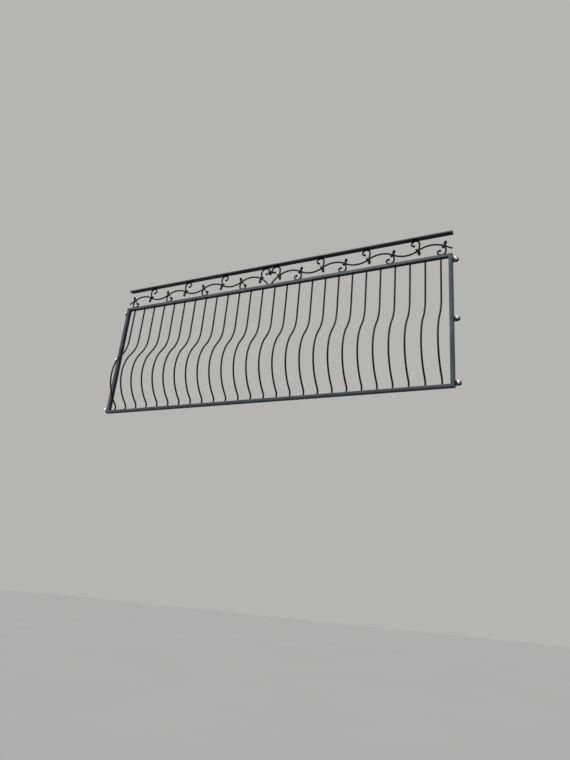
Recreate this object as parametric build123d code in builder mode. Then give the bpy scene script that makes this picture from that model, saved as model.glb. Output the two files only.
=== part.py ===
from build123d import *
from math import acos, asin, cos, degrees, radians, sin, sqrt
import os

# Juliet balcony: a flat welded frame on the wall, a row of bars that belly out below,
# and a forged vine between the frame's top rail and the handrail above it.
# X runs along the wall, Z up, and the wall is the plane Y = 0 with the balcony on its -Y side.
# Z = 0 is the middle of the bottom rail. Sizes are in millimetres.

# Frame of rectangular tube, mitred at the corners
frame_width = 2650
frame_height = 920
frame_depth = 30
stile_face = 25
rail_face = 20
tube_wall = 2

# Round bars, drawn with four flats so that the long row stays light
bar_diameter = 12
bar_count = 26
foot_rise = 20
foot_radius = 30
belly_reach = 115
belly_radius = 290
shoulder_radius = 250

# Handrail, a flat bar with eased edges
handrail_depth = 40
handrail_thickness = 10
handrail_overhang = 5
handrail_edge = 1

# Vine between top rail and handrail
frieze_height = 155
vine_bar = 12
vine_nodes = 8
vine_tip = 50
vine_tip_drop = 25
heart_width = 154
heart_foot = 9
node_height = 71
stem_rise = 25
scroll_lean = 8
scroll_radius = 27
heart_radius = 38
curl_radius = 13
curl_turn = 150
seat_flat = 0.5
collar_width = 20
collar_height = 24
clip_height = 16

# Leaves, each from its collar to its tip
leaf_down = 30
leaf_up = 24
clip_leaf = 20
leaf_width = 18
clip_leaf_width = 12
leaf_root = 8
leaf_point = 4
leaf_thickness = 8

# Lugs on the stiles that the wall bolts go through
lug_width = 40
lug_height = 35
lug_thickness = 8
lug_low = 30
lug_high = 40
lug_rows = 3
bolt_hole = 13

# Levels and lines that follow from those sizes
frame_base = -rail_face / 2
frame_top = frame_base + frame_height
frame_line = -frame_depth / 2
half_width = frame_width / 2
bar_foot = frame_base + rail_face
bar_head = frame_top - rail_face
bar_pitch = (frame_width - 2 * stile_face) / bar_count
lug_pitch = (frame_height - lug_low - lug_high) / (lug_rows - 1)
handrail_base = frame_top + frieze_height
vine_pitch = (half_width - vine_tip - heart_width / 2) / (vine_nodes - 1)
stem_slope = 2 * asin(stem_rise / sqrt(stem_rise**2 + (vine_pitch / 2) ** 2))
clip_level = frieze_height + seat_flat - vine_bar / 2 - heart_radius
vine_plane = Plane(origin=(0, frame_line, frame_top), x_dir=(1, 0, 0), z_dir=(0, -1, 0))


def save(part, name):
    """Labels a finished piece and writes its file."""
    part.label = name
    export_step(part, f"parts/{name}.step")


def mitre(side, edge):
    """Cutting plane through a frame corner; its normal points from the rail to the stile."""
    corner = (side * half_width, 0, frame_top if edge > 0 else frame_base)
    return Plane(origin=corner, z_dir=(side * rail_face, 0, -edge * stile_face))


def tube_section(width, height):
    """Adds the section of a rectangular tube to the sketch in hand."""
    Rectangle(width, height)
    Rectangle(width - 2 * tube_wall, height - 2 * tube_wall, mode=Mode.SUBTRACT)


def make_rail(edge):
    """Top (edge 1) or bottom (edge -1) rail."""
    middle = frame_top - rail_face / 2 if edge > 0 else frame_base + rail_face / 2
    with BuildPart() as rail:
        with BuildSketch(Plane.YZ.offset(-half_width)):
            with Locations((frame_line, middle)):
                tube_section(frame_depth, rail_face)
        extrude(amount=frame_width)
        for side in (-1, 1):
            split(bisect_by=mitre(side, edge), keep=Keep.BOTTOM)
    return rail.part


def make_stile(side):
    """Left (side -1) or right (side 1) stile with its drilled wall lugs, backs flush with the wall."""
    with BuildPart() as stile:
        with BuildSketch(Plane.XY.offset(frame_base)):
            with Locations((side * (half_width - stile_face / 2), frame_line)):
                tube_section(stile_face, frame_depth)
        extrude(amount=frame_height)
        for edge in (-1, 1):
            split(bisect_by=mitre(side, edge), keep=Keep.TOP)
        for row in range(lug_rows):
            level = frame_base + lug_low + row * lug_pitch
            with BuildSketch(Plane.XZ):
                with Locations((side * (half_width + lug_width / 2), level)):
                    Rectangle(lug_width, lug_height)
                    Circle(bolt_hole / 2, mode=Mode.SUBTRACT)
            extrude(amount=lug_thickness)
    return stile.part


def bar_path(line):
    """Centre line of a bar at x = line: straight, out over the foot, round the belly and back."""
    belly_centre = frame_line - belly_reach + belly_radius
    foot_centre = frame_line - foot_radius
    shoulder_centre = frame_line - shoulder_radius
    foot_turn = degrees(acos((belly_centre - foot_centre) / (belly_radius + foot_radius)))
    shoulder_turn = degrees(acos((belly_centre - shoulder_centre) / (belly_radius + shoulder_radius)))
    foot_level = bar_foot + foot_rise
    belly_level = foot_level + (belly_radius + foot_radius) * sin(radians(foot_turn))
    shoulder_level = belly_level + (belly_radius + shoulder_radius) * sin(radians(shoulder_turn))
    with BuildLine(Plane.YZ.offset(line)) as path:
        Line((frame_line, bar_foot), (frame_line, foot_level))
        CenterArc((foot_centre, foot_level), foot_radius, 0, foot_turn)
        CenterArc((belly_centre, belly_level), belly_radius, 180 + foot_turn, -foot_turn - shoulder_turn)
        CenterArc((shoulder_centre, shoulder_level), shoulder_radius, -shoulder_turn, shoulder_turn)
        Line((frame_line, shoulder_level), (frame_line, bar_head))
    return path.line


def scroll_outline(reach, radius):
    """Scroll that rises from its node to a seat at height reach and curls back towards -X."""
    level = reach + seat_flat - vine_bar / 2 - radius
    curl_line = scroll_lean - 2 * radius + curl_radius
    with BuildSketch() as scroll:
        with BuildLine():
            TangentArc((scroll_lean, level), (0, 0), tangent=(0, -1))
            CenterArc((scroll_lean - radius, level), radius, 0, 180)
            CenterArc((curl_line, level), curl_radius, 180, curl_turn)
        trace(line_width=vine_bar)
    return scroll.sketch


def node_line(index):
    """Distance of a vine node from the balcony's middle."""
    return heart_width / 2 + index * vine_pitch


def make_leaf(line, root, length, width):
    """Leaf at x = line whose stalk meets its collar at height root; a negative length hangs down."""
    widest = 0.45 * length
    stalk = Plane(origin=(line, frame_line, frame_top + root), x_dir=(1, 0, 0), z_dir=(0, -1, 0))
    with BuildPart() as leaf:
        with BuildSketch(stalk):
            with BuildLine():
                Polyline(
                    (leaf_root / 2, 0),
                    (width / 2, widest),
                    (leaf_point / 2, length),
                    (-leaf_point / 2, length),
                    (-width / 2, widest),
                    (-leaf_root / 2, 0),
                    close=True,
                )
            make_face()
        extrude(amount=leaf_thickness / 2, both=True)
    return leaf.part


# Handrail
with BuildPart() as handrail:
    with BuildSketch(Plane.YZ.offset(-half_width - handrail_overhang)):
        with Locations((-handrail_depth / 2, handrail_base + handrail_thickness / 2)):
            Rectangle(handrail_depth, handrail_thickness)
    extrude(amount=frame_width + 2 * handrail_overhang)
    chamfer(handrail.edges().filter_by(Axis.X), handrail_edge)

# Bottom rail with the row of bars that stands on it
bottom_rail = make_rail(-1)
with BuildPart() as barred_rail:
    add(bottom_rail)
    for i in range(bar_count):
        line = (i - (bar_count - 1) / 2) * bar_pitch
        with BuildSketch(Plane.XY.offset(bar_foot)):
            with Locations((line, frame_line)):
                Rectangle(bar_diameter, bar_diameter)
        sweep(path=bar_path(line))

# Vine: a waved stem to each side with a scroll at every node, and the heart in the middle
up_scroll = scroll_outline(frieze_height - node_height, scroll_radius)
down_scroll = scroll_outline(node_height, scroll_radius).mirror(Plane.XZ)
heart_scroll = scroll_outline(frieze_height - node_height, heart_radius)
with BuildPart() as vine:
    with BuildSketch(vine_plane):
        with BuildLine():
            for k in range(vine_nodes - 1):
                bend = stem_rise if k % 2 == 0 else -stem_rise
                ThreePointArc(
                    (node_line(k), node_height),
                    (node_line(k + 0.5), node_height + bend),
                    (node_line(k + 1), node_height),
                )
            TangentArc(
                (node_line(vine_nodes - 1), node_height),
                (half_width - vine_bar / 2, node_height - vine_tip_drop),
                tangent=(cos(stem_slope), -sin(stem_slope)),
            )
            TangentArc(
                (node_line(0), node_height),
                (heart_foot, 0),
                tangent=(-cos(stem_slope), -sin(stem_slope)),
            )
        trace(line_width=vine_bar)
        for k in range(vine_nodes):
            with Locations((node_line(k), node_height)):
                Rectangle(collar_width, collar_height)
                if k == 0:
                    add(heart_scroll)
                else:
                    add(up_scroll if k % 2 == 0 else down_scroll)
        with Locations((0, clip_level)):
            Rectangle(heart_width + 2 * scroll_lean - 4 * heart_radius + vine_bar, clip_height)
        with Locations((0, frieze_height / 2)):
            Rectangle(frame_width, frieze_height, mode=Mode.INTERSECT)
        mirror(about=Plane.YZ)
    extrude(amount=vine_bar / 2, both=True)


os.makedirs("parts", exist_ok=True)
save(handrail.part, "handrail")
save(make_rail(1), "top_rail")
save(barred_rail.part, "bottom_rail_with_bars")
save(vine.part, "vine")
save(make_leaf(0, clip_level - clip_height / 2, -clip_leaf, clip_leaf_width), "leaf_middle")
for side, name in ((-1, "left"), (1, "right")):
    save(make_stile(side), f"{name}_stile")
    for k in range(vine_nodes):
        if k % 2 == 0:
            leaf = make_leaf(side * node_line(k), node_height - collar_height / 2, -leaf_down, leaf_width)
        else:
            leaf = make_leaf(side * node_line(k), node_height + collar_height / 2, leaf_up, leaf_width)
        save(leaf, f"{name}_leaf_{k + 1}")
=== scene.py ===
from collections import namedtuple
from math import acos, asin, atan2, ceil, cos, exp, pi, radians, sin, sqrt

import bmesh
import bpy
from bpy.props import FloatProperty, FloatVectorProperty, IntProperty, PointerProperty
from mathutils import Matrix, Vector


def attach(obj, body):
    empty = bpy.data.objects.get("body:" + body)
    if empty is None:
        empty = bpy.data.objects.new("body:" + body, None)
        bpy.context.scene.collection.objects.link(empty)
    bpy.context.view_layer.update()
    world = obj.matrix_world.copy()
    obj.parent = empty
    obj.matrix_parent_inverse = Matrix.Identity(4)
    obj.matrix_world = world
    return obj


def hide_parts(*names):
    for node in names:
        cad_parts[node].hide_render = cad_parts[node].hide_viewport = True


bl_info = {
    "name": "Juliet balcony",
    "version": (1, 0, 0),
    "blender": (4, 5, 0),
    "location": "View3D > Sidebar > Balcony",
    "description": "Forged and welded pieces, paint and studio for a juliet balcony",
    "category": "Object",
}

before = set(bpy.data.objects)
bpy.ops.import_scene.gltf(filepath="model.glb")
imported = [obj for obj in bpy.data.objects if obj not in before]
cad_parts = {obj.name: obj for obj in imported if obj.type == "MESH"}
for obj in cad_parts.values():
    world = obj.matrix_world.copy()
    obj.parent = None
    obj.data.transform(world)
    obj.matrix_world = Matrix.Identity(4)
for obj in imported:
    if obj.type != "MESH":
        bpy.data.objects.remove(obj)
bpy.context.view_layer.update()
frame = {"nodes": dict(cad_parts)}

# The sheet of the drawing that a bent rod lies in: where it starts and which way it reads.
Sheet = namedtuple("Sheet", "origin across up")

# The two halves: the way each runs along the wall, and its name.
SIDES = ((-1, "left"), (1, "right"))

# Stands a shape's axis out from the wall.
OUTWARD = Matrix.Rotation(pi / 2, 4, "X")

# Spots nearer than this are one corner, an edge with less depth lies flat, a smaller turn is straight.
MERGE_GAP = 1e-6
FLAT_GAP = 1e-5
LEAST_TURN = 1e-4

# Ends of the stem and of the curls, as shares of the rod's diameter.
STEM_TIP = 0.4
STEM_BALL = 0.6
CURL_THINNING = (0.46, 0.38)

# Eased edges in metres, and the collar's as a share of its width.
CLIP_EDGE = 0.002
WASHER_EDGE = 0.0006
NUT_EDGE = 0.0012
WELD_EDGE = 0.0012
COLLAR_EDGE = 0.3

# Leaf, in metres: its root inside the collar, its rib, and how far blade and ball stand forward.
LEAF_SUNK = 0.005
LEAF_RIB = 0.0016
BLADE_FORWARD = 0.001
BALL_FORWARD = 0.002

# Leaf, as shares: where its lobes are widest, how gently they fall away, its narrowest width,
# and the width of the middle leaf. The power bends its cup.
LOBE_PLACE = 0.58
LOBE_FALL = 0.5
LEAF_WAIST = 0.6
MIDDLE_LEAF = 0.6
CUP_POWER = 1.5

# Dome of a nut, as shares of the nut's half width, and the stud's end off the wall, in metres.
DOME_RISE = 0.65
DOME_WIDTH = 0.96
STUD_START = 0.0005

# Welds of the vine: thickness in metres, then length and width as shares of the rod,
# and the place of the heart's as a share of its foot.
VINE_WELD = 0.003
SCROLL_WELD = (1.7, 0.8)
HEART_WELD = (1.6, 1.1)
HEART_WELD_PLACE = 1.1

# Low shine of paint and stone, and the values that a mottling noise mostly keeps to.
LOW_SHINE = 0.1
NOISE_BAND = (0.3, 0.7)

# Camera at the photograph's viewing angle: lens in millimetres, reach and place in metres, turn in degrees.
CAMERA_LENS = 27.507
CAMERA_REACH = 300
CAMERA_PLACE = (1.8847, -3.2652, -1.2945)
CAMERA_TURN = (111.4308, -5.0645, 25.3554)

# The way the lamp shines, the tint of the even light, and the floor from its middle to its edge.
LAMP_WAY = (0.4, 0.8, -1)
SKY_TINT = (0.9, 0.95, 1, 1)
FLOOR_REACH = 90


# Sizes, colours and lights that a user would change.


class FrameSizes(bpy.types.PropertyGroup):
    width: FloatProperty(
        name="Width", description="Frame, outside the stiles", default=2.65, unit="LENGTH"
    )
    height: FloatProperty(
        name="Height", description="Frame, outside the rails", default=0.92, unit="LENGTH"
    )
    depth: FloatProperty(
        name="Depth", description="Tube, out from the wall", default=0.03, unit="LENGTH"
    )
    stile_face: FloatProperty(
        name="Stile face", description="Width of a stile seen from the front", default=0.025, unit="LENGTH"
    )
    rail_face: FloatProperty(
        name="Rail face", description="Height of a rail seen from the front", default=0.02, unit="LENGTH"
    )
    edge_radius: FloatProperty(
        name="Edge radius", description="Rounding of the tube's long edges", default=0.0015, unit="LENGTH"
    )


class BarSizes(bpy.types.PropertyGroup):
    count: IntProperty(name="Bars", description="Number of bellied bars", default=26, min=2)
    diameter: FloatProperty(
        name="Diameter", description="Round bar", default=0.012, unit="LENGTH"
    )
    belly_reach: FloatProperty(
        name="Belly reach",
        description="How far the belly stands out from the frame",
        default=0.115,
        unit="LENGTH",
    )
    foot_rise: FloatProperty(
        name="Foot rise", description="Straight length above the bottom rail", default=0.02, unit="LENGTH"
    )
    belly_radius: FloatProperty(
        name="Belly radius", description="Bend of the belly", default=0.29, unit="LENGTH"
    )
    foot_radius: FloatProperty(
        name="Foot radius", description="Bend above the bottom rail", default=0.03, unit="LENGTH"
    )
    shoulder_radius: FloatProperty(
        name="Shoulder radius", description="Bend above the belly", default=0.25, unit="LENGTH"
    )
    sides: IntProperty(name="Sides", description="Facets round a bar", default=16, min=6)
    weld: FloatProperty(
        name="Weld", description="Thickness of the weld round a bar's end", default=0.0022, unit="LENGTH"
    )


class VineSizes(bpy.types.PropertyGroup):
    frieze: FloatProperty(
        name="Frieze height", description="Top rail to handrail", default=0.155, unit="LENGTH"
    )
    rod: FloatProperty(name="Rod", description="Diameter of the stem", default=0.012, unit="LENGTH")
    nodes: IntProperty(name="Nodes", description="Nodes to each side", default=8, min=2)
    tip_inset: FloatProperty(
        name="Tip inset", description="Last node to the frame's end", default=0.05, unit="LENGTH"
    )
    tip_drop: FloatProperty(
        name="Tip drop",
        description="How far the stem's tip hangs below its node",
        default=0.021,
        unit="LENGTH",
    )
    heart_width: FloatProperty(
        name="Heart width", description="Between the heart's two nodes", default=0.154, unit="LENGTH"
    )
    heart_foot: FloatProperty(
        name="Heart foot", description="Half the width of the heart's foot", default=0.009, unit="LENGTH"
    )
    node_height: FloatProperty(
        name="Node height", description="Nodes above the top rail", default=0.071, unit="LENGTH"
    )
    rise: FloatProperty(
        name="Wave", description="Height of the stem's wave over its nodes", default=0.025, unit="LENGTH"
    )
    lean: FloatProperty(
        name="Lean",
        description="How far a scroll's back stands out from its node",
        default=0.008,
        unit="LENGTH",
    )
    heart_lean: FloatProperty(
        name="Heart lean", description="The same for the heart's scrolls", default=0.001, unit="LENGTH"
    )
    scroll_radius: FloatProperty(
        name="Scroll radius", description="Outer turn of a scroll", default=0.027, unit="LENGTH"
    )
    heart_radius: FloatProperty(
        name="Heart radius", description="Outer turn of the heart's scrolls", default=0.0345, unit="LENGTH"
    )
    high_curl: FloatProperty(
        name="High curl", description="Inner turn of a rising scroll", default=0.01, unit="LENGTH"
    )
    high_turn: FloatProperty(
        name="High turn",
        description="How far a rising scroll's inner turn goes",
        default=radians(78),
        subtype="ANGLE",
    )
    low_curl: FloatProperty(
        name="Low curl", description="Inner turn of a hanging scroll", default=0.007, unit="LENGTH"
    )
    low_turn: FloatProperty(
        name="Low turn",
        description="How far a hanging scroll's inner turn goes",
        default=radians(95),
        subtype="ANGLE",
    )
    heart_curl: FloatProperty(
        name="Heart curl", description="Inner turn of the heart's scrolls", default=0.015, unit="LENGTH"
    )
    heart_turn: FloatProperty(
        name="Heart turn",
        description="How far the heart's inner turn goes",
        default=radians(105),
        subtype="ANGLE",
    )
    bulb: FloatProperty(
        name="Bulb", description="Radius of the ball that ends a scroll", default=0.009, unit="LENGTH"
    )
    collar_length: FloatProperty(
        name="Collar length", description="Strap round the stem and the scroll", default=0.033, unit="LENGTH"
    )
    collar_width: FloatProperty(
        name="Collar width", description="Strap along the stem", default=0.012, unit="LENGTH"
    )
    collar_shift: FloatProperty(
        name="Collar shift",
        description="Strap from the node towards the middle",
        default=0.004,
        unit="LENGTH",
    )
    collar_depth: FloatProperty(
        name="Collar depth", description="Strap through the vine", default=0.019, unit="LENGTH"
    )
    clip_level: FloatProperty(
        name="Clip level", description="Middle of the clip above the top rail", default=0.1115, unit="LENGTH"
    )
    clip_width: FloatProperty(
        name="Clip width", description="Clip that ties the heart's scrolls", default=0.038, unit="LENGTH"
    )
    clip_height: FloatProperty(
        name="Clip height", description="Clip up and down", default=0.016, unit="LENGTH"
    )


class LeafSizes(bpy.types.PropertyGroup):
    down: FloatProperty(
        name="Hanging leaf", description="Collar to tip", default=0.03, unit="LENGTH"
    )
    up: FloatProperty(
        name="Standing leaf", description="Collar to tip", default=0.026, unit="LENGTH"
    )
    middle: FloatProperty(
        name="Middle leaf", description="Clip to tip", default=0.02, unit="LENGTH"
    )
    root: FloatProperty(
        name="Leaf root", description="Node to the start of the blade", default=0.012, unit="LENGTH"
    )
    width: FloatProperty(
        name="Leaf width", description="Across the side lobes", default=0.026, unit="LENGTH"
    )
    thickness: FloatProperty(
        name="Leaf thickness", description="Blade", default=0.003, unit="LENGTH"
    )
    cup: FloatProperty(
        name="Cup", description="How far the side lobes stand forward", default=0.004, unit="LENGTH"
    )
    shift: FloatProperty(
        name="Shift", description="Leaf from its node outwards", default=0.002, unit="LENGTH"
    )
    lean: FloatProperty(
        name="Lean", description="How far a leaf's tip leans outwards", default=0.005, unit="LENGTH"
    )
    tip: FloatProperty(
        name="Tip", description="Radius of the ball at the point", default=0.0088, unit="LENGTH"
    )


class FixingSizes(bpy.types.PropertyGroup):
    lug_line: FloatProperty(
        name="Lug line", description="Bolt holes from the middle", default=1.345, unit="LENGTH"
    )
    rows: IntProperty(name="Lugs", description="Lugs to each side", default=3, min=1)
    hole: FloatProperty(name="Hole", description="Bolt hole in a lug", default=0.013, unit="LENGTH")
    lug_low: FloatProperty(
        name="Lowest hole", description="Level of the lowest bolt holes", default=0.02, unit="LENGTH"
    )
    lug_pitch: FloatProperty(
        name="Hole pitch", description="Between the holes of a side", default=0.425, unit="LENGTH"
    )
    lug_radius: FloatProperty(
        name="Lug radius",
        description="Rounded end of a lug about its bolt hole",
        default=0.0165,
        unit="LENGTH",
    )
    lug_thickness: FloatProperty(
        name="Lug thickness", description="Plate under the nut", default=0.008, unit="LENGTH"
    )
    washer: FloatProperty(
        name="Washer", description="Outside diameter", default=0.024, unit="LENGTH"
    )
    washer_thickness: FloatProperty(
        name="Washer thickness", description="Sheet of the washer", default=0.0025, unit="LENGTH"
    )
    across_flats: FloatProperty(
        name="Across flats", description="Spanner size of the domed nut", default=0.019, unit="LENGTH"
    )
    nut_height: FloatProperty(
        name="Nut height", description="Washer to the top of the dome", default=0.019, unit="LENGTH"
    )
    stud: FloatProperty(name="Stud", description="Bolt through the lug", default=0.012, unit="LENGTH")


class Paints(bpy.types.PropertyGroup):
    frame: FloatVectorProperty(
        name="Frame", description="Paint of the frame", subtype="COLOR", default=(0.084, 0.104, 0.12)
    )
    handrail: FloatVectorProperty(
        name="Handrail", description="Paint of the handrail", subtype="COLOR", default=(0.088, 0.102, 0.112)
    )
    # Painted shade: the bars' colour is kept far darker than the frame's paint, for the dark look of thin
    # round bars in shade.
    bars: FloatVectorProperty(
        name="Bars", description="Paint of the bars", subtype="COLOR", default=(0.012, 0.0145, 0.0175)
    )
    # Painted shade: the vine's colour is kept far darker than the frame's paint, for the dark look of its
    # thin rods in shade.
    vine: FloatVectorProperty(
        name="Vine", description="Paint of the forged vine", subtype="COLOR", default=(0.009, 0.0105, 0.0125)
    )
    # Painted shade: the leaves' colour is kept far darker than the frame's paint, for their dark look in
    # shade.
    leaves: FloatVectorProperty(
        name="Leaves", description="Paint of the leaves", subtype="COLOR", default=(0.009, 0.0105, 0.012)
    )
    dust: FloatVectorProperty(
        name="Dust", description="Dust and chalked paint", subtype="COLOR", default=(0.3, 0.3, 0.28)
    )
    steel: FloatVectorProperty(
        name="Steel", description="Stainless nuts and washers", subtype="COLOR", default=(0.88, 0.875, 0.86)
    )


class StudioSettings(bpy.types.PropertyGroup):
    floor_level: FloatProperty(
        name="Floor level", description="Ground under the balcony", default=-2.8, unit="LENGTH"
    )
    floor: FloatVectorProperty(
        name="Floor", description="Pale floor", subtype="COLOR", default=(0.46, 0.455, 0.44)
    )
    background: FloatVectorProperty(
        name="Background",
        description="What the camera sees behind",
        subtype="COLOR",
        default=(0.465, 0.46, 0.445),
    )
    bounce: FloatVectorProperty(
        name="Bounce",
        description="What the floor throws back up",
        subtype="COLOR",
        default=(0.08, 0.079, 0.076),
    )
    sky: FloatProperty(name="Sky", description="Strength of the even light", default=0.16, min=0)
    key: FloatProperty(name="Key lamp", description="Strength of the lamp from above", default=3.3, min=0)
    softness: FloatProperty(
        name="Softness",
        description="Width of the lamp as the balcony sees it",
        default=radians(25),
        subtype="ANGLE",
    )


# Measures that follow from the settings.


def frame_base():
    return -bpy.context.scene.balcony_frame.rail_face / 2


def frame_top():
    return frame_base() + bpy.context.scene.balcony_frame.height


def frame_line():
    return -bpy.context.scene.balcony_frame.depth / 2


def bar_lines():
    """Places of the bars along the rail."""
    sizes = bpy.context.scene.balcony_frame
    count = bpy.context.scene.balcony_bars.count
    pitch = (sizes.width - 2 * sizes.stile_face) / count
    return [(i - (count - 1) / 2) * pitch for i in range(count)]


def node_line(index):
    """Distance of a vine node from the balcony's middle."""
    vine = bpy.context.scene.balcony_vine
    half = bpy.context.scene.balcony_frame.width / 2
    pitch = (half - vine.tip_inset - vine.heart_width / 2) / (vine.nodes - 1)
    return vine.heart_width / 2 + index * pitch


def stem_slope():
    """Angle at which the waved stem crosses its nodes."""
    vine = bpy.context.scene.balcony_vine
    half_pitch = (node_line(1) - node_line(0)) / 2
    return 2 * asin(vine.rise / sqrt(vine.rise**2 + half_pitch**2))


def scroll_shape(index):
    """A scroll's outer turn: its height over the node, its radius, how far its back leans out."""
    vine = bpy.context.scene.balcony_vine
    reach = vine.frieze - vine.node_height if index % 2 == 0 else vine.node_height
    outer, lean = (vine.heart_radius, vine.heart_lean) if index == 0 else (vine.scroll_radius, vine.lean)
    return reach - vine.rod / 2 - outer, outer, lean


def scroll_heading(level, lean):
    """Angle at which a scroll leaves its node."""
    return 2 * atan2(level, lean) - pi / 2


def vine_sheet(side):
    """The sheet of one half of the vine, read from the middle outwards."""
    return Sheet(Vector((0, frame_line(), frame_top())), Vector((side, 0, 0)), Vector((0, 0, 1)))


# Bent rods, blocks and finished pieces.


def on_sheet(sheet, spot):
    return sheet.origin + sheet.across * spot[0] + sheet.up * spot[1]


def towards(sheet, heading):
    return sheet.across * cos(heading) + sheet.up * sin(heading)


def edges_at(corners):
    """Edges that meet at the corners, each once, in the same order every time."""
    return list(dict.fromkeys(edge for corner in corners for edge in corner.link_edges))


def middle_of(corners):
    return sum((corner.co for corner in corners), Vector()) / len(corners)


def start_ring(bm, sheet, spot, heading, radius, sides):
    """Open ring across a rod's heading."""
    forward = towards(sheet, heading)
    through = sheet.across.cross(sheet.up)
    turn = Matrix((through, forward.cross(through), forward)).transposed().to_4x4()
    place = Matrix.Translation(on_sheet(sheet, spot)) @ turn
    made = bmesh.ops.create_circle(bm, segments=sides, radius=radius, matrix=place)
    return edges_at(made["verts"])


def drawn_out(bm, ring):
    """Extrudes a ring in place and returns its new edges and corners."""
    made = bmesh.ops.extrude_edge_only(bm, edges=ring)["geom"]
    edges = [part for part in made if isinstance(part, bmesh.types.BMEdge)]
    corners = [part for part in made if isinstance(part, bmesh.types.BMVert)]
    return edges, corners


def resized(bm, corners, share):
    place = Matrix.Translation(-middle_of(corners))
    bmesh.ops.scale(bm, verts=corners, vec=(share,) * 3, space=place)


def bend_to(bm, sheet, ring, spot, heading, stop, radii, step=radians(9)):
    """Takes a rod round the arc that leaves along its heading and ends at stop."""
    chord = Vector(stop) - Vector(spot)
    half_turn = (atan2(chord.y, chord.x) - heading + pi) % (2 * pi) - pi
    steps = max(1, ceil(abs(2 * half_turn) / step))
    straight = abs(half_turn) < LEAST_TURN
    if not straight:
        reach = chord.length / (2 * sin(half_turn))
        centre = Vector(spot) + Vector((-sin(heading), cos(heading))) * reach
    for i in range(steps):
        ring, corners = drawn_out(bm, ring)
        if straight:
            bmesh.ops.translate(bm, verts=corners, vec=towards(sheet, heading) * (chord.length / steps))
        else:
            turn = Matrix.Rotation(2 * half_turn / steps, 3, sheet.across.cross(sheet.up))
            bmesh.ops.rotate(bm, verts=corners, cent=on_sheet(sheet, centre), matrix=turn)
        before = radii[0] + (radii[1] - radii[0]) * i / steps
        after = radii[0] + (radii[1] - radii[0]) * (i + 1) / steps
        if after != before:
            resized(bm, corners, after / before)
    return ring, heading + 2 * half_turn


def ball_end(bm, sheet, ring, heading, radius, ball, steps=5):
    """Ends a rod in a ball; a ball as thick as the rod is a plain rounded end."""
    forward = towards(sheet, heading)
    angle = -acos(min(1, radius / ball))
    stride = (pi / 2 - angle) / steps
    for i in range(steps):
        ring, corners = drawn_out(bm, ring)
        further = angle + stride
        bmesh.ops.translate(bm, verts=corners, vec=forward * (ball * (sin(further) - sin(angle))))
        if i < steps - 1:
            resized(bm, corners, cos(further) / cos(angle))
        else:
            bmesh.ops.pointmerge(bm, verts=corners, merge_co=middle_of(corners))
        angle = further


def rod(bm, sheet, start, heading, stops, radii, sides=12, ball=0.0):
    """Sweeps a rod through its stops; it ends flat, or in a ball of that radius."""
    ring = start_ring(bm, sheet, start, heading, radii[0], sides)
    bmesh.ops.contextual_create(bm, geom=ring)
    spot = start
    for stop, thick, thin in zip(stops, radii, radii[1:]):
        ring, heading = bend_to(bm, sheet, ring, spot, heading, stop, (thick, thin))
        spot = stop
    if ball:
        ball_end(bm, sheet, ring, heading, radii[-1], ball)
    else:
        bmesh.ops.contextual_create(bm, geom=ring)


def ease_edges(bm, edges, radius, segments=2):
    bmesh.ops.bevel(
        bm, geom=edges, offset=radius, segments=segments, profile=0.5, affect="EDGES", material=-1
    )


def block(bm, size, place, radius, segments=2, turn=0.0):
    """Box with all its edges eased, turned about the line through the wall."""
    turned = Matrix.Translation(place) @ Matrix.Rotation(turn, 4, "Y")
    made = bmesh.ops.create_cube(bm, size=1, matrix=turned @ Matrix.Diagonal((*size, 1)))
    ease_edges(bm, edges_at(made["verts"]), radius, segments)


def piece_from(bm, name, paint, stands_for=(), sharp=radians(38)):
    """Closes a mesh and makes it a piece of the balcony that rides on the frame."""
    bmesh.ops.remove_doubles(bm, verts=bm.verts, dist=MERGE_GAP)
    bmesh.ops.recalc_face_normals(bm, faces=bm.faces)
    for face in bm.faces:
        face.smooth = True
    for edge in bm.edges:
        edge.smooth = len(edge.link_faces) == 2 and edge.calc_face_angle(0) < sharp
    mesh = bpy.data.meshes.new(name)
    bm.to_mesh(mesh)
    bm.free()
    piece = bpy.data.objects.new(name, mesh)
    bpy.context.scene.collection.objects.link(piece)
    mesh.materials.append(paint)
    if stands_for:
        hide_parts(*stands_for)
    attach(piece, "root")
    return piece


# Paint, steel and stone.


def blank_material(name):
    """Material with its shader, and the coordinates of the object to draw on."""
    material = bpy.data.materials.new(name)
    material.use_nodes = True
    tree = material.node_tree
    tree.nodes.clear()
    output = tree.nodes.new("ShaderNodeOutputMaterial")
    shader = tree.nodes.new("ShaderNodeBsdfPrincipled")
    tree.links.new(shader.outputs["BSDF"], output.inputs["Surface"])
    place = tree.nodes.new("ShaderNodeTexCoord")
    return material, tree, shader, place.outputs["Object"]


def noise(tree, place, scale, detail=3.0, roughness=0.55):
    node = tree.nodes.new("ShaderNodeTexNoise")
    node.inputs["Scale"].default_value = scale
    node.inputs["Detail"].default_value = detail
    node.inputs["Roughness"].default_value = roughness
    tree.links.new(place, node.inputs["Vector"])
    return node.outputs["Fac"]


def shaded(colour, share):
    return [channel * share for channel in colour]


def joined(tree, operation, first, second):
    """One value from two, by a plain sum of that kind."""
    node = tree.nodes.new("ShaderNodeMath")
    node.operation = operation
    tree.links.new(first, node.inputs[0])
    tree.links.new(second, node.inputs[1])
    return node.outputs[0]


def spread(tree, value, low, high, to_low, to_high):
    """Maps a value from one range to another."""
    node = tree.nodes.new("ShaderNodeMapRange")
    for socket, number in zip(("From Min", "From Max", "To Min", "To Max"), (low, high, to_low, to_high)):
        node.inputs[socket].default_value = number
    tree.links.new(value, node.inputs["Value"])
    return node.outputs["Result"]


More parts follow.
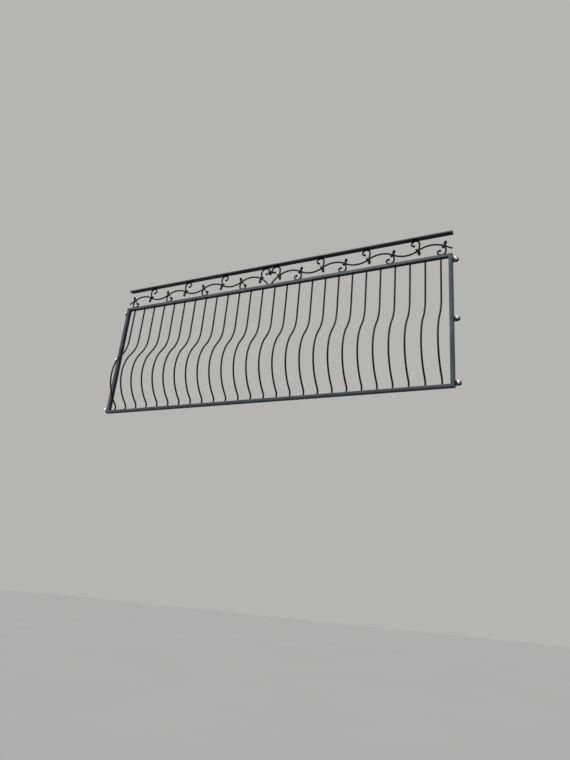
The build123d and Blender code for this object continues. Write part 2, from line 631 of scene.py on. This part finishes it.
def blended(tree, share, first, second):
    """Mixes two colours; either may be a colour or a socket."""
    node = tree.nodes.new("ShaderNodeMix")
    node.data_type = "RGBA"
    tree.links.new(share, node.inputs["Factor"])
    # The node's colours are its inputs 6 and 7, and their mix is its output 2.
    for socket, colour in zip((node.inputs[6], node.inputs[7]), (first, second)):
        if isinstance(colour, bpy.types.NodeSocket):
            tree.links.new(colour, socket)
        else:
            socket.default_value = (*colour, 1)
    return node.outputs[2]


def bumped(tree, height, strength, distance, under=None):
    node = tree.nodes.new("ShaderNodeBump")
    node.inputs["Strength"].default_value = strength
    node.inputs["Distance"].default_value = distance
    tree.links.new(height, node.inputs["Height"])
    if under is not None:
        tree.links.new(under, node.inputs["Normal"])
    return node.outputs["Normal"]


def satin_paint(name, colour, hammer=0.0, eased=0.0, dusty=0.5):
    """Satin paint: mottled, dusty on top, with painted shade on faces turned down, hammer marked where it
    was forged.
    """
    material, tree, shader, place = blank_material(name)
    paints = bpy.context.scene.balcony_paints
    cloud = noise(tree, place, scale=9.0)
    grain = noise(tree, place, scale=420.0, detail=4.0)
    deep = shaded(colour, 0.86)
    pale = shaded(colour, 1.2)
    base = blended(tree, spread(tree, cloud, *NOISE_BAND, 0, 1), deep, pale)
    geometry = tree.nodes.new("ShaderNodeNewGeometry")
    split = tree.nodes.new("ShaderNodeSeparateXYZ")
    tree.links.new(geometry.outputs["Normal"], split.inputs["Vector"])
    # Painted shade: faces turned down take a colour a quarter as bright, standing in for the shade under
    # things.
    painted_shade_below = spread(tree, split.outputs["Z"], -0.9, -0.3, 1, 0)
    base = blended(tree, painted_shade_below, base, shaded(colour, 0.25))
    upward = spread(tree, split.outputs["Z"], 0.55, 1.0, 0, 1)
    patchy = spread(tree, noise(tree, place, scale=55.0, detail=5.0), 0.42, 0.72, 0.04, dusty)
    settled = joined(tree, "MULTIPLY", upward, patchy)
    tree.links.new(blended(tree, settled, base, paints.dust), shader.inputs["Base Color"])
    tree.links.new(spread(tree, grain, *NOISE_BAND, 0.34, 0.5), shader.inputs["Roughness"])
    shader.inputs["Specular IOR Level"].default_value = LOW_SHINE
    edge = None
    if eased:
        soft = tree.nodes.new("ShaderNodeBevel")
        soft.samples = 4
        soft.inputs["Radius"].default_value = eased
        edge = soft.outputs["Normal"]
    normal = bumped(tree, grain, strength=0.12, distance=0.0004, under=edge)
    if hammer:
        marks = tree.nodes.new("ShaderNodeTexVoronoi")
        marks.feature = "SMOOTH_F1"
        marks.inputs["Scale"].default_value = 110.0
        tree.links.new(place, marks.inputs["Vector"])
        normal = bumped(tree, marks.outputs["Distance"], hammer, distance=0.002, under=normal)
    tree.links.new(normal, shader.inputs["Normal"])
    return material


def weld_paint(name, colour):
    """Paint over the ripples of a weld."""
    material, tree, shader, place = blank_material(name)
    ripple = noise(tree, place, scale=650.0, detail=2.0)
    deep = shaded(colour, 0.75)
    base = blended(tree, spread(tree, ripple, 0.35, 0.65, 0, 1), deep, colour)
    tree.links.new(base, shader.inputs["Base Color"])
    tree.links.new(spread(tree, ripple, *NOISE_BAND, 0.38, 0.55), shader.inputs["Roughness"])
    tree.links.new(bumped(tree, ripple, strength=0.6, distance=0.0012), shader.inputs["Normal"])
    return material


def polished_steel(name, colour):
    """Stainless steel with fine polishing marks."""
    material, tree, shader, place = blank_material(name)
    marks = noise(tree, place, scale=900.0, detail=2.0)
    smear = noise(tree, place, scale=120.0, detail=3.0)
    dull = shaded(colour, 0.88)
    base = blended(tree, spread(tree, smear, 0.35, 0.7, 0, 1), colour, dull)
    tree.links.new(base, shader.inputs["Base Color"])
    shader.inputs["Metallic"].default_value = 1.0
    tree.links.new(spread(tree, smear, *NOISE_BAND, 0.24, 0.34), shader.inputs["Roughness"])
    tree.links.new(bumped(tree, marks, strength=0.05, distance=0.0002), shader.inputs["Normal"])
    return material


def seen_plainly(tree):
    """One for what the camera sees, also by way of metal and glass, and nothing for the light itself."""
    ray = tree.nodes.new("ShaderNodeLightPath")
    share = ray.outputs["Is Camera Ray"]
    for name in ("Is Glossy Ray", "Is Transmission Ray"):
        share = joined(tree, "MAXIMUM", share, ray.outputs[name])
    return share


def stone_floor(name, colour, bounce):
    """Plain pale floor with a trace of unevenness, which throws less light back up than it shows."""
    material, tree, shader, place = blank_material(name)
    cloud = noise(tree, place, scale=0.35, detail=2.0)
    deep = shaded(colour, 0.97)
    pale = blended(tree, spread(tree, cloud, *NOISE_BAND, 0, 1), deep, colour)
    tree.links.new(blended(tree, seen_plainly(tree), bounce, pale), shader.inputs["Base Color"])
    shader.inputs["Roughness"].default_value = 0.9
    shader.inputs["Specular IOR Level"].default_value = LOW_SHINE
    return material


def coat(name, paint):
    """Paints a piece of the frame in its own place."""
    node = frame["nodes"][name]
    if not node.data.materials:
        node.data.materials.append(paint)
    for i in range(len(node.data.materials)):
        node.data.materials[i] = paint


# The pieces, a step for each group of them.


class BALCONY_OT_frame(bpy.types.Operator):
    """Paint the top rail and handrail, and make the bottom rail and the stiles with their lugs"""

    bl_idname = "balcony.frame"
    bl_label = "Frame and handrail"

    def execute(self, context):
        sizes = context.scene.balcony_frame
        paints = context.scene.balcony_paints
        paint = satin_paint("frame_paint", paints.frame, eased=sizes.edge_radius)
        coat("top_rail", paint)
        for side, name in SIDES:
            self.stile(context, side, name, paint)
        rail_paint = satin_paint("handrail_paint", paints.handrail, eased=sizes.edge_radius)
        coat("handrail", rail_paint)
        bm = bmesh.new()
        size = Matrix.Diagonal((sizes.width, sizes.depth, sizes.rail_face, 1))
        place = Matrix.Translation((0, frame_line(), frame_base() + sizes.rail_face / 2))
        bmesh.ops.create_cube(bm, size=1, matrix=place @ size)
        for corner in bm.verts:
            if corner.co.z > frame_base() + sizes.rail_face / 2:
                corner.co.x += -sizes.stile_face if corner.co.x > 0 else sizes.stile_face
        along = [e for e in bm.edges if abs(e.verts[0].co.x - e.verts[1].co.x) > sizes.width / 2]
        ease_edges(bm, along, sizes.edge_radius)
        piece_from(bm, "bottom_rail", paint, ("bottom_rail_with_bars",))
        return {"FINISHED"}

    def stile(self, context, side, name, paint):
        """Upright tube, cut on the mitre, with the lugs that the wall bolts go through."""
        sizes = context.scene.balcony_frame
        fixings = context.scene.balcony_fixings
        bm = bmesh.new()
        line = side * (sizes.width - sizes.stile_face) / 2
        middle = frame_base() + sizes.height / 2
        size = Matrix.Diagonal((sizes.stile_face, sizes.depth, sizes.height, 1))
        bmesh.ops.create_cube(bm, size=1, matrix=Matrix.Translation((line, frame_line(), middle)) @ size)
        for corner in bm.verts:
            if abs(corner.co.x) < abs(line):
                corner.co.z += sizes.rail_face if corner.co.z < middle else -sizes.rail_face
        upright = [e for e in bm.edges if abs(e.verts[0].co.z - e.verts[1].co.z) > sizes.height / 2]
        ease_edges(bm, upright, sizes.edge_radius)
        for row in range(fixings.rows):
            level = fixings.lug_low + row * fixings.lug_pitch
            self.lug(bm, fixings, side, level, side * (sizes.width / 2 - sizes.edge_radius))
        piece_from(bm, f"{name}_stile_with_lugs", paint, (f"{name}_stile",))

    def lug(self, bm, fixings, side, level, root):
        """Drilled plate, round about its bolt hole and straight towards the stile."""
        place = Matrix.Translation((side * fixings.lug_line, 0, level)) @ OUTWARD
        rim = bmesh.ops.create_circle(bm, segments=32, radius=fixings.lug_radius, matrix=place)["verts"]
        hole = bmesh.ops.create_circle(bm, segments=32, radius=fixings.hole / 2, matrix=place)["verts"]
        for corner in rim:
            if abs(corner.co.x) < fixings.lug_line - FLAT_GAP:
                corner.co.x = root
        edges = edges_at((*rim, *hole))
        plate = bmesh.ops.bridge_loops(bm, edges=edges)["faces"]
        made = bmesh.ops.extrude_face_region(bm, geom=plate)["geom"]
        front = [part for part in made if isinstance(part, bmesh.types.BMVert)]
        bmesh.ops.translate(bm, verts=front, vec=(0, -fixings.lug_thickness, 0))


class BALCONY_OT_bars(bpy.types.Operator):
    """Bend the row of bellied bars"""

    bl_idname = "balcony.bars"
    bl_label = "Bellied bars"

    def execute(self, context):
        sizes = context.scene.balcony_bars
        rail = context.scene.balcony_frame.rail_face
        # The bars' colour carries painted shade: it is far darker than the frame's paint.
        paint = satin_paint("bar_paint", context.scene.balcony_paints.bars, dusty=0.1)
        line = frame_line()
        belly = line - sizes.belly_reach + sizes.belly_radius
        foot = line - sizes.foot_radius
        shoulder = line - sizes.shoulder_radius
        low = acos((belly - foot) / (sizes.belly_radius + sizes.foot_radius))
        high = acos((belly - shoulder) / (sizes.belly_radius + sizes.shoulder_radius))
        foot_level = frame_base() + rail + sizes.foot_rise
        belly_level = foot_level + (sizes.belly_radius + sizes.foot_radius) * sin(low)
        shoulder_level = belly_level + (sizes.belly_radius + sizes.shoulder_radius) * sin(high)
        stops = [
            (line, foot_level),
            (foot + sizes.foot_radius * cos(low), foot_level + sizes.foot_radius * sin(low)),
            (belly - sizes.belly_radius * cos(high), belly_level + sizes.belly_radius * sin(high)),
            (line, shoulder_level),
            (line, frame_top() - rail),
        ]
        radii = [sizes.diameter / 2] * (len(stops) + 1)
        for number, place in enumerate(bar_lines(), 1):
            bm = bmesh.new()
            sheet = Sheet(Vector((place, 0, 0)), Vector((0, 1, 0)), Vector((0, 0, 1)))
            rod(bm, sheet, (line, frame_base() + rail), pi / 2, stops, radii, sizes.sides)
            piece_from(bm, f"bar_{number:02d}", paint, ("bottom_rail_with_bars",))
        return {"FINISHED"}


class BALCONY_OT_vine(bpy.types.Operator):
    """Forge the vine: waved stem, scrolls, heart, collars and clip"""

    bl_idname = "balcony.vine"
    bl_label = "Vine"

    def execute(self, context):
        vine = context.scene.balcony_vine
        # The vine's colour carries painted shade: it is far darker than the frame's paint.
        paint = satin_paint("vine_paint", context.scene.balcony_paints.vine, hammer=0.35)
        for side, name in SIDES:
            self.stem(vine, side, name, paint)
            self.heart_leg(vine, side, name, paint)
            for index in range(vine.nodes):
                self.scroll(vine, side, name, index, paint)
                self.collar(vine, side, name, index, paint)
        bm = bmesh.new()
        level = frame_top() + vine.clip_level
        size = (vine.clip_width, vine.collar_depth, vine.clip_height)
        block(bm, size, (0, frame_line(), level), CLIP_EDGE, segments=3)
        piece_from(bm, "heart_clip", paint, ("vine",))
        return {"FINISHED"}

    def stem(self, vine, side, name, paint):
        half = bpy.context.scene.balcony_frame.width / 2
        stops = [(node_line(k), vine.node_height) for k in range(1, vine.nodes)]
        stops.append((half - vine.rod, vine.node_height - vine.tip_drop))
        radii = [vine.rod / 2] * vine.nodes + [vine.rod * STEM_TIP]
        bm = bmesh.new()
        start = (node_line(0), vine.node_height)
        rod(bm, vine_sheet(side), start, stem_slope(), stops, radii, ball=vine.rod * STEM_BALL)
        piece_from(bm, f"{name}_stem", paint, ("vine",))

    def heart_leg(self, vine, side, name, paint):
        bm = bmesh.new()
        start = (node_line(0), vine.node_height)
        stops = [(vine.heart_foot, 0)]
        radii = [vine.rod / 2] * 2
        rod(bm, vine_sheet(side), start, pi + stem_slope(), stops, radii)
        bmesh.ops.bisect_plane(
            bm,
            geom=bm.verts[:] + bm.edges[:] + bm.faces[:],
            plane_co=(0, 0, frame_top()),
            plane_no=(0, 0, -1),
            clear_outer=True,
        )
        bmesh.ops.holes_fill(bm, edges=[edge for edge in bm.edges if edge.is_boundary])
        piece_from(bm, f"{name}_heart_leg", paint, ("vine",))

    def scroll(self, vine, side, name, index, paint):
        rising = index % 2 == 0
        level, outer, lean = scroll_shape(index)
        if index == 0:
            curl, turn = vine.heart_curl, vine.heart_turn
        elif rising:
            curl, turn = vine.high_curl, vine.high_turn
        else:
            curl, turn = vine.low_curl, vine.low_turn
        end = (lean - 2 * outer + curl * (1 - cos(turn)), level - curl * sin(turn))
        heading = scroll_heading(level, lean)
        stops = [
            (lean, level),
            (lean - outer, level + outer),
            (lean - 2 * outer, level),
            end,
        ]
        radii = [vine.rod / 2] * 3 + [vine.rod * share for share in CURL_THINNING]
        half = vine_sheet(side)
        up = half.up if rising else -half.up
        sheet = Sheet(on_sheet(half, (node_line(index), vine.node_height)), half.across, up)
        bm = bmesh.new()
        rod(bm, sheet, (0, 0), heading, stops, radii, ball=vine.bulb)
        piece_from(bm, f"{name}_scroll_{index + 1}", paint, ("vine",))

    def collar(self, vine, side, name, index, paint):
        """Strap across the middle line between the stem and the scroll that it holds."""
        level, _, lean = scroll_shape(index)
        way = 1 if index % 2 == 0 else -1
        middle = way * (stem_slope() + scroll_heading(level, lean)) / 2
        bm = bmesh.new()
        size = (vine.collar_width, vine.collar_depth, vine.collar_length)
        line = side * (node_line(index) - vine.collar_shift)
        place = (line, frame_line(), frame_top() + vine.node_height)
        block(bm, size, place, vine.collar_width * COLLAR_EDGE, segments=3, turn=-side * middle)
        piece_from(bm, f"{name}_collar_{index + 1}", paint, ("vine",))


class BALCONY_OT_leaves(bpy.types.Operator):
    """Make the leaf at every collar and under the clip"""

    bl_idname = "balcony.leaves"
    bl_label = "Leaves"

    def execute(self, context):
        vine = context.scene.balcony_vine
        sizes = context.scene.balcony_leaves
        # The leaves' colour carries painted shade: it is far darker than the frame's paint.
        paint = satin_paint("leaf_paint", context.scene.balcony_paints.leaves, hammer=0.25)
        level = frame_top() + vine.node_height
        for side, name in SIDES:
            for index in range(vine.nodes):
                hangs = index % 2 == 0
                way = -1 if hangs else 1
                length = sizes.down if hangs else sizes.up
                node = f"{name}_leaf_{index + 1}"
                root = level + way * sizes.root
                line = side * (node_line(index) + sizes.shift)
                self.leaf(sizes, line, root, way, length, sizes.width, side * sizes.lean, node, paint)
        clip = frame_top() + vine.clip_level - vine.clip_height / 2
        self.leaf(sizes, 0, clip, -1, sizes.middle, sizes.width * MIDDLE_LEAF, 0, "leaf_middle", paint)
        return {"FINISHED"}

    def leaf(self, sizes, line, root, way, length, width, lean, node, paint):
        """Lobed blade, cupped forward to each side of its rib, with a ball at the point."""
        bm = bmesh.new()
        reach = length - sizes.tip
        bmesh.ops.create_grid(bm, x_segments=8, y_segments=14, size=1)
        for corner in bm.verts:
            along = (corner.co.y + 1) / 2
            across = corner.co.x
            off_rib = abs(across)
            lobe = exp(-(((along - LOBE_PLACE) / LOBE_FALL) ** 2))
            half = width / 2 * max(lobe, LEAF_WAIST)
            forward = sizes.cup * off_rib**CUP_POWER * lobe + LEAF_RIB * (1 - off_rib) + BLADE_FORWARD
            level = root + way * (along * (reach + LEAF_SUNK) - LEAF_SUNK)
            corner.co = Vector((line + lean * along + across * half, frame_line() - forward, level))
        bmesh.ops.smooth_vert(
            bm, verts=bm.verts, factor=0.4, use_axis_x=True, use_axis_y=True, use_axis_z=False
        )
        bmesh.ops.recalc_face_normals(bm, faces=bm.faces)
        bmesh.ops.solidify(bm, geom=bm.faces[:], thickness=sizes.thickness)
        bead = Matrix.Translation((line + lean, frame_line() - BALL_FORWARD, root + way * reach))
        bmesh.ops.create_uvsphere(bm, u_segments=16, v_segments=10, radius=sizes.tip, matrix=bead)
        piece_from(bm, f"{node}_forged", paint, (node,))


class BALCONY_OT_fixings(bpy.types.Operator):
    """Put a stud, washer and domed nut through every lug"""

    bl_idname = "balcony.fixings"
    bl_label = "Nuts and washers"

    def execute(self, context):
        sizes = context.scene.balcony_fixings
        steel = polished_steel("stainless_steel", context.scene.balcony_paints.steel)
        # Washers take the bars' dark colour, which carries painted shade, so that a dark ring shows round
        # each nut.
        paint = satin_paint("washer_paint_with_painted_shade", context.scene.balcony_paints.bars)
        for side, name in SIDES:
            for row in range(sizes.rows):
                place = Vector((side * sizes.lug_line, 0, sizes.lug_low + row * sizes.lug_pitch))
                self.washer(sizes, place, f"{name}_washer_{row + 1}", paint)
                self.nut(sizes, place, f"{name}_nut_{row + 1}", steel)
        return {"FINISHED"}

    def drum(self, bm, place, radius, base, top, sides):
        """Round or many-sided drum whose axis stands out from the wall."""
        middle = Matrix.Translation(place - Vector((0, (base + top) / 2, 0)))
        made = bmesh.ops.create_cone(
            bm,
            cap_ends=True,
            segments=sides,
            radius1=radius,
            radius2=radius,
            depth=top - base,
            matrix=middle @ OUTWARD,
        )
        return edges_at(made["verts"])

    def washer(self, sizes, place, name, paint):
        """Stud through the lug, and the washer that the nut sits on."""
        bm = bmesh.new()
        face = sizes.lug_thickness + sizes.washer_thickness
        self.drum(bm, place, sizes.stud / 2, STUD_START, face, sides=16)
        edges = self.drum(bm, place, sizes.washer / 2, sizes.lug_thickness, face, sides=32)
        rim = [edge for edge in edges if abs(edge.verts[0].co.y - edge.verts[1].co.y) < FLAT_GAP]
        ease_edges(bm, rim, WASHER_EDGE)
        piece_from(bm, name, paint)

    def nut(self, sizes, place, name, steel):
        """Six-sided nut with eased corners under a polished dome."""
        bm = bmesh.new()
        face = sizes.lug_thickness + sizes.washer_thickness
        wrench = sizes.across_flats / 2
        rise = wrench * DOME_RISE
        body = sizes.nut_height - rise
        edges = self.drum(bm, place, wrench / cos(pi / 6), face, face + body, sides=6)
        ease_edges(bm, edges, NUT_EDGE)
        ball = Matrix.Translation(place - Vector((0, face + body, 0)))
        shape = OUTWARD @ Matrix.Diagonal((DOME_WIDTH, DOME_WIDTH, rise / wrench, 1))
        bmesh.ops.create_uvsphere(bm, u_segments=24, v_segments=12, radius=wrench, matrix=ball @ shape)
        piece_from(bm, name, steel)


class BALCONY_OT_welds(bpy.types.Operator):
    """Lay the weld beads at the ends of the bars and under the scrolls"""

    bl_idname = "balcony.welds"
    bl_label = "Welds"

    def execute(self, context):
        sizes = context.scene.balcony_bars
        vine = context.scene.balcony_vine
        rail = context.scene.balcony_frame.rail_face
        # Welds take the bars' colour, with its painted shade.
        paint = weld_paint("weld_paint", context.scene.balcony_paints.bars)
        bm = bmesh.new()
        for line in bar_lines():
            for level in (frame_base() + rail, frame_top() - rail):
                self.bead(bm, (line, frame_line(), level), sizes.diameter / 2, sizes.weld)
        piece_from(bm, "bar_welds", paint)
        bm = bmesh.new()
        for side in (-1, 1):
            for index in range(vine.nodes):
                rising = index % 2 == 0
                _, outer, lean = scroll_shape(index)
                level = frame_top() + (vine.frieze if rising else 0)
                line = side * (node_line(index) + lean - outer)
                inward = -1 if rising else 1
                self.seam(bm, vine, SCROLL_WELD, line, level + inward * VINE_WELD / 2)
            line = side * vine.heart_foot * HEART_WELD_PLACE
            self.seam(bm, vine, HEART_WELD, line, frame_top() + VINE_WELD / 2)
        piece_from(bm, "vine_welds", paint)
        return {"FINISHED"}

    def seam(self, bm, vine, shares, line, level):
        """Flat weld where a scroll or a foot of the heart meets its rail."""
        size = (vine.rod * shares[0], vine.rod * shares[1], VINE_WELD)
        block(bm, size, (line, frame_line(), level), WELD_EDGE)

    def bead(self, bm, place, radius, weld):
        """Small ring laid round a bar where it meets a rail."""
        edge = Vector(place) + Vector((radius, 0, 0))
        turn = Matrix.Translation(edge) @ OUTWARD
        ring = bmesh.ops.create_circle(bm, segments=6, radius=weld, matrix=turn)["verts"]
        edges = edges_at(ring)
        bmesh.ops.spin(
            bm, geom=edges, cent=place, axis=(0, 0, 1), angle=2 * pi, steps=12, use_merge=True
        )


class BALCONY_OT_studio(bpy.types.Operator):
    """Set the floor, the lights and the camera"""

    bl_idname = "balcony.studio"
    bl_label = "Studio"

    def execute(self, context):
        settings = context.scene.balcony_studio
        self.floor(settings)
        self.sky(settings)
        self.lamp(settings)
        self.camera(context)
        context.scene.view_settings.view_transform = "Standard"
        return {"FINISHED"}

    def camera(self, context):
        camera = bpy.data.objects.new("camera", bpy.data.cameras.new("camera"))
        camera.data.lens = CAMERA_LENS
        camera.data.clip_end = CAMERA_REACH
        camera.location = CAMERA_PLACE
        camera.rotation_euler = [radians(turn) for turn in CAMERA_TURN]
        context.scene.collection.objects.link(camera)
        context.scene.camera = camera

    def floor(self, settings):
        bm = bmesh.new()
        bmesh.ops.create_grid(bm, x_segments=1, y_segments=1, size=FLOOR_REACH)
        bmesh.ops.translate(bm, verts=bm.verts, vec=(0, 0, settings.floor_level))
        mesh = bpy.data.meshes.new("floor")
        bm.to_mesh(mesh)
        bm.free()
        floor = bpy.data.objects.new("floor", mesh)
        bpy.context.scene.collection.objects.link(floor)
        mesh.materials.append(stone_floor("floor_stone", settings.floor, settings.bounce))

    def sky(self, settings):
        """Even light all round, with the plain background where the camera looks."""
        world = bpy.data.worlds.new("studio")
        bpy.context.scene.world = world
        world.use_nodes = True
        tree = world.node_tree
        tree.nodes.clear()
        output = tree.nodes.new("ShaderNodeOutputWorld")
        light = tree.nodes.new("ShaderNodeBackground")
        light.inputs["Color"].default_value = SKY_TINT
        light.inputs["Strength"].default_value = settings.sky
        seen = tree.nodes.new("ShaderNodeBackground")
        seen.inputs["Color"].default_value = (*settings.background, 1)
        mix = tree.nodes.new("ShaderNodeMixShader")
        tree.links.new(seen_plainly(tree), mix.inputs[0])
        tree.links.new(light.outputs[0], mix.inputs[1])
        tree.links.new(seen.outputs[0], mix.inputs[2])
        tree.links.new(mix.outputs[0], output.inputs["Surface"])

    def lamp(self, settings):
        """Soft lamp from above, in front and to the left."""
        light = bpy.data.lights.new("key_lamp", "SUN")
        light.energy = settings.key
        light.angle = settings.softness
        lamp = bpy.data.objects.new("key_lamp", light)
        lamp.rotation_euler = Vector(LAMP_WAY).to_track_quat("-Z", "Y").to_euler()
        bpy.context.scene.collection.objects.link(lamp)


# The steps in their order, and the settings that they read.
STEPS = (
    BALCONY_OT_frame,
    BALCONY_OT_bars,
    BALCONY_OT_vine,
    BALCONY_OT_leaves,
    BALCONY_OT_fixings,
    BALCONY_OT_welds,
    BALCONY_OT_studio,
)
SETTINGS = {
    "balcony_frame": FrameSizes,
    "balcony_bars": BarSizes,
    "balcony_vine": VineSizes,
    "balcony_leaves": LeafSizes,
    "balcony_fixings": FixingSizes,
    "balcony_paints": Paints,
    "balcony_studio": StudioSettings,
}


class BALCONY_PT_panel(bpy.types.Panel):
    """Sizes, colours and steps of the balcony"""

    bl_idname = "BALCONY_PT_panel"
    bl_label = "Juliet balcony"
    bl_space_type = "VIEW_3D"
    bl_region_type = "UI"
    bl_category = "Balcony"

    def draw(self, context):
        for name in SETTINGS:
            settings = getattr(context.scene, name)
            box = self.layout.box()
            for key in settings.__annotations__:
                box.prop(settings, key)
        for step in STEPS:
            self.layout.operator(step.bl_idname)


def register():
    for kind in (*SETTINGS.values(), *STEPS, BALCONY_PT_panel):
        bpy.utils.register_class(kind)
    for name, kind in SETTINGS.items():
        setattr(bpy.types.Scene, name, PointerProperty(type=kind))


def unregister():
    for name in SETTINGS:
        delattr(bpy.types.Scene, name)
    for kind in (BALCONY_PT_panel, *reversed(STEPS), *reversed(SETTINGS.values())):
        bpy.utils.unregister_class(kind)


def main():
    register()
    for step in STEPS:
        group, action = step.bl_idname.split(".")
        getattr(getattr(bpy.ops, group), action)()


if __name__ == "__main__":
    main()
